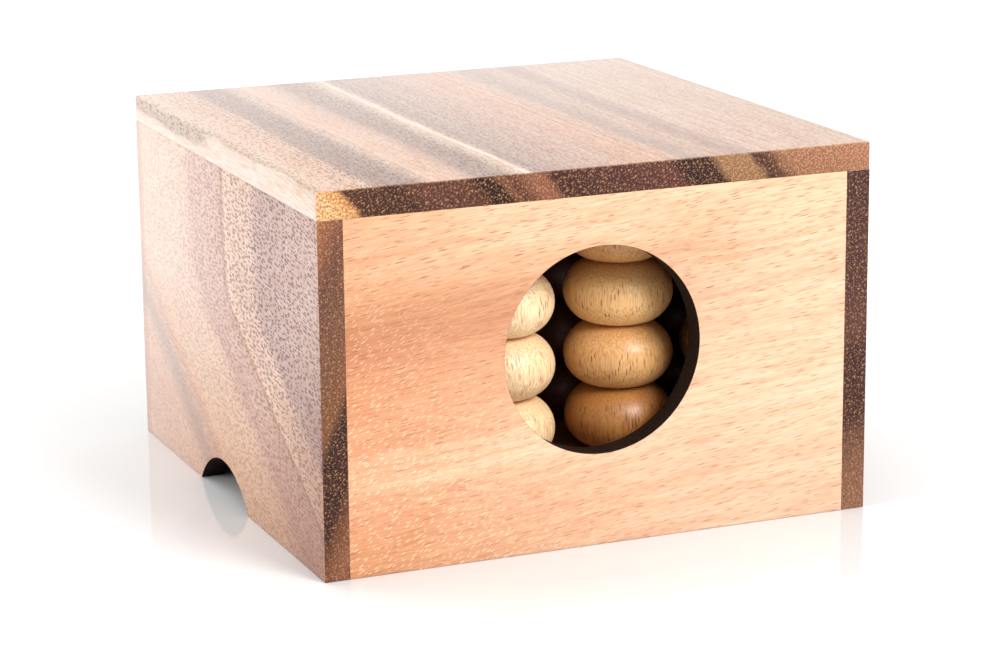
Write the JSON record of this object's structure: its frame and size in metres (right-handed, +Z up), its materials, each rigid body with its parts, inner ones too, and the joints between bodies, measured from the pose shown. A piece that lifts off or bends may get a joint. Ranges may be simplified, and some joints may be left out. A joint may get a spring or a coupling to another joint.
{
  "type": "wooden bead game in a box",
  "caption": "Wooden bead game in its box: a peg board with round beads on pegs, under a lift-off cover with a round window and finger notches.",
  "frame": {"origin": "centre of the base, on the surface the board and the cover stand on", "axes": "+Z up, the window faces -Y, +X is to the right as one looks at the window"},
  "size_m": [0.15, 0.15, 0.0975],
  "materials": {
    "figured_panel": "satin oiled, brown and tan streaks with open pores",
    "plain_panel": "satin oiled, honey with cream streaks",
    "peg_board": "satin oiled, brown",
    "peg_dowel": "bare turned dowel",
    "light_bead": "clear lacquer, pale straw",
    "dark_bead": "clear lacquer over dark red-brown stain"
  },
  "bodies": {
    "board": {"peg_board": "peg_board", "peg_r1_c1": "peg_dowel", "peg_r1_c2": "peg_dowel", "peg_r1_c3": "peg_dowel", "peg_r1_c4": "peg_dowel", "peg_r2_c1": "peg_dowel", "peg_r2_c2": "peg_dowel", "peg_r2_c3": "peg_dowel", "peg_r2_c4": "peg_dowel", "peg_r3_c1": "peg_dowel", "peg_r3_c2": "peg_dowel", "peg_r3_c3": "peg_dowel", "peg_r3_c4": "peg_dowel", "peg_r4_c1": "peg_dowel", "peg_r4_c2": "peg_dowel", "peg_r4_c3": "peg_dowel", "peg_r4_c4": "peg_dowel"},
    "cover": {"top_panel": "figured_panel", "front_panel": "plain_panel", "back_panel": "plain_panel", "left_panel": "figured_panel", "right_panel": "figured_panel"},
    "bead_r1_c1_b1": {"bead_r1_c1_b1": "light_bead"},
    "bead_r1_c1_b2": {"bead_r1_c1_b2": "light_bead"},
    "bead_r1_c1_b3": {"bead_r1_c1_b3": "light_bead"},
    "bead_r1_c1_b4": {"bead_r1_c1_b4": "light_bead"},
    "bead_r1_c2_b1": {"bead_r1_c2_b1": "light_bead"},
    "bead_r1_c2_b2": {"bead_r1_c2_b2": "light_bead"},
    "bead_r1_c2_b3": {"bead_r1_c2_b3": "light_bead"},
    "bead_r1_c2_b4": {"bead_r1_c2_b4": "light_bead"},
    "bead_r1_c3_b1": {"bead_r1_c3_b1": "light_bead"},
    "bead_r1_c3_b2": {"bead_r1_c3_b2": "light_bead"},
    "bead_r1_c3_b3": {"bead_r1_c3_b3": "light_bead"},
    "bead_r1_c3_b4": {"bead_r1_c3_b4": "light_bead"},
    "bead_r1_c4_b1": {"bead_r1_c4_b1": "light_bead"},
    "bead_r1_c4_b2": {"bead_r1_c4_b2": "light_bead"},
    "bead_r1_c4_b3": {"bead_r1_c4_b3": "light_bead"},
    "bead_r1_c4_b4": {"bead_r1_c4_b4": "light_bead"},
    "beads_r2_c1": {"beads_r2_c1": "dark_bead"},
    "beads_r2_c2": {"beads_r2_c2": "dark_bead"},
    "beads_r2_c3": {"beads_r2_c3": "dark_bead"},
    "beads_r2_c4": {"beads_r2_c4": "dark_bead"},
    "beads_r3_c1": {"beads_r3_c1": "dark_bead"},
    "beads_r3_c2": {"beads_r3_c2": "dark_bead"},
    "beads_r3_c3": {"beads_r3_c3": "dark_bead"},
    "beads_r3_c4": {"beads_r3_c4": "dark_bead"},
    "beads_r4_c1": {"beads_r4_c1": "light_bead"},
    "beads_r4_c2": {"beads_r4_c2": "light_bead"},
    "beads_r4_c3": {"beads_r4_c3": "light_bead"},
    "beads_r4_c4": {"beads_r4_c4": "light_bead"}
  },
  "joints": [
    {"name": "cover_lift", "type": "slide", "parent": "board", "child": "cover", "axis": [0, 0, 1], "range_m": [0, 0.12]},
    {"name": "bead_r1_c1_b1_lift", "type": "slide", "parent": "board", "child": "bead_r1_c1_b1", "axis": [0, 0, 1], "range_m": [0, 0.006]},
    {"name": "bead_r1_c1_b2_lift", "type": "slide", "parent": "bead_r1_c1_b1", "child": "bead_r1_c1_b2", "axis": [0, 0, 1], "range_m": [0, 0.006]},
    {"name": "bead_r1_c1_b3_lift", "type": "slide", "parent": "bead_r1_c1_b2", "child": "bead_r1_c1_b3", "axis": [0, 0, 1], "range_m": [0, 0.006]},
    {"name": "bead_r1_c1_b4_lift", "type": "slide", "parent": "bead_r1_c1_b3", "child": "bead_r1_c1_b4", "axis": [0, 0, 1], "range_m": [0, 0.006]},
    {"name": "bead_r1_c2_b1_lift", "type": "slide", "parent": "board", "child": "bead_r1_c2_b1", "axis": [0, 0, 1], "range_m": [0, 0.006]},
    {"name": "bead_r1_c2_b2_lift", "type": "slide", "parent": "bead_r1_c2_b1", "child": "bead_r1_c2_b2", "axis": [0, 0, 1], "range_m": [0, 0.006]},
    {"name": "bead_r1_c2_b3_lift", "type": "slide", "parent": "bead_r1_c2_b2", "child": "bead_r1_c2_b3", "axis": [0, 0, 1], "range_m": [0, 0.006]},
    {"name": "bead_r1_c2_b4_lift", "type": "slide", "parent": "bead_r1_c2_b3", "child": "bead_r1_c2_b4", "axis": [0, 0, 1], "range_m": [0, 0.006]},
    {"name": "bead_r1_c3_b1_lift", "type": "slide", "parent": "board", "child": "bead_r1_c3_b1", "axis": [0, 0, 1], "range_m": [0, 0.006]},
    {"name": "bead_r1_c3_b2_lift", "type": "slide", "parent": "bead_r1_c3_b1", "child": "bead_r1_c3_b2", "axis": [0, 0, 1], "range_m": [0, 0.006]},
    {"name": "bead_r1_c3_b3_lift", "type": "slide", "parent": "bead_r1_c3_b2", "child": "bead_r1_c3_b3", "axis": [0, 0, 1], "range_m": [0, 0.006]},
    {"name": "bead_r1_c3_b4_lift", "type": "slide", "parent": "bead_r1_c3_b3", "child": "bead_r1_c3_b4", "axis": [0, 0, 1], "range_m": [0, 0.006]},
    {"name": "bead_r1_c4_b1_lift", "type": "slide", "parent": "board", "child": "bead_r1_c4_b1", "axis": [0, 0, 1], "range_m": [0, 0.006]},
    {"name": "bead_r1_c4_b2_lift", "type": "slide", "parent": "bead_r1_c4_b1", "child": "bead_r1_c4_b2", "axis": [0, 0, 1], "range_m": [0, 0.006]},
    {"name": "bead_r1_c4_b3_lift", "type": "slide", "parent": "bead_r1_c4_b2", "child": "bead_r1_c4_b3", "axis": [0, 0, 1], "range_m": [0, 0.006]},
    {"name": "bead_r1_c4_b4_lift", "type": "slide", "parent": "bead_r1_c4_b3", "child": "bead_r1_c4_b4", "axis": [0, 0, 1], "range_m": [0, 0.006]},
    {"name": "beads_r2_c1_lift", "type": "slide", "parent": "board", "child": "beads_r2_c1", "axis": [0, 0, 1], "range_m": [0, 0.006]},
    {"name": "beads_r2_c2_lift", "type": "slide", "parent": "board", "child": "beads_r2_c2", "axis": [0, 0, 1], "range_m": [0, 0.006]},
    {"name": "beads_r2_c3_lift", "type": "slide", "parent": "board", "child": "beads_r2_c3", "axis": [0, 0, 1], "range_m": [0, 0.006]},
    {"name": "beads_r2_c4_lift", "type": "slide", "parent": "board", "child": "beads_r2_c4", "axis": [0, 0, 1], "range_m": [0, 0.006]},
    {"name": "beads_r3_c1_lift", "type": "slide", "parent": "board", "child": "beads_r3_c1", "axis": [0, 0, 1], "range_m": [0, 0.006]},
    {"name": "beads_r3_c2_lift", "type": "slide", "parent": "board", "child": "beads_r3_c2", "axis": [0, 0, 1], "range_m": [0, 0.006]},
    {"name": "beads_r3_c3_lift", "type": "slide", "parent": "board", "child": "beads_r3_c3", "axis": [0, 0, 1], "range_m": [0, 0.006]},
    {"name": "beads_r3_c4_lift", "type": "slide", "parent": "board", "child": "beads_r3_c4", "axis": [0, 0, 1], "range_m": [0, 0.006]},
    {"name": "beads_r4_c1_lift", "type": "slide", "parent": "board", "child": "beads_r4_c1", "axis": [0, 0, 1], "range_m": [0, 0.006]},
    {"name": "beads_r4_c2_lift", "type": "slide", "parent": "board", "child": "beads_r4_c2", "axis": [0, 0, 1], "range_m": [0, 0.006]},
    {"name": "beads_r4_c3_lift", "type": "slide", "parent": "board", "child": "beads_r4_c3", "axis": [0, 0, 1], "range_m": [0, 0.006]},
    {"name": "beads_r4_c4_lift", "type": "slide", "parent": "board", "child": "beads_r4_c4", "axis": [0, 0, 1], "range_m": [0, 0.006]}
  ]
}
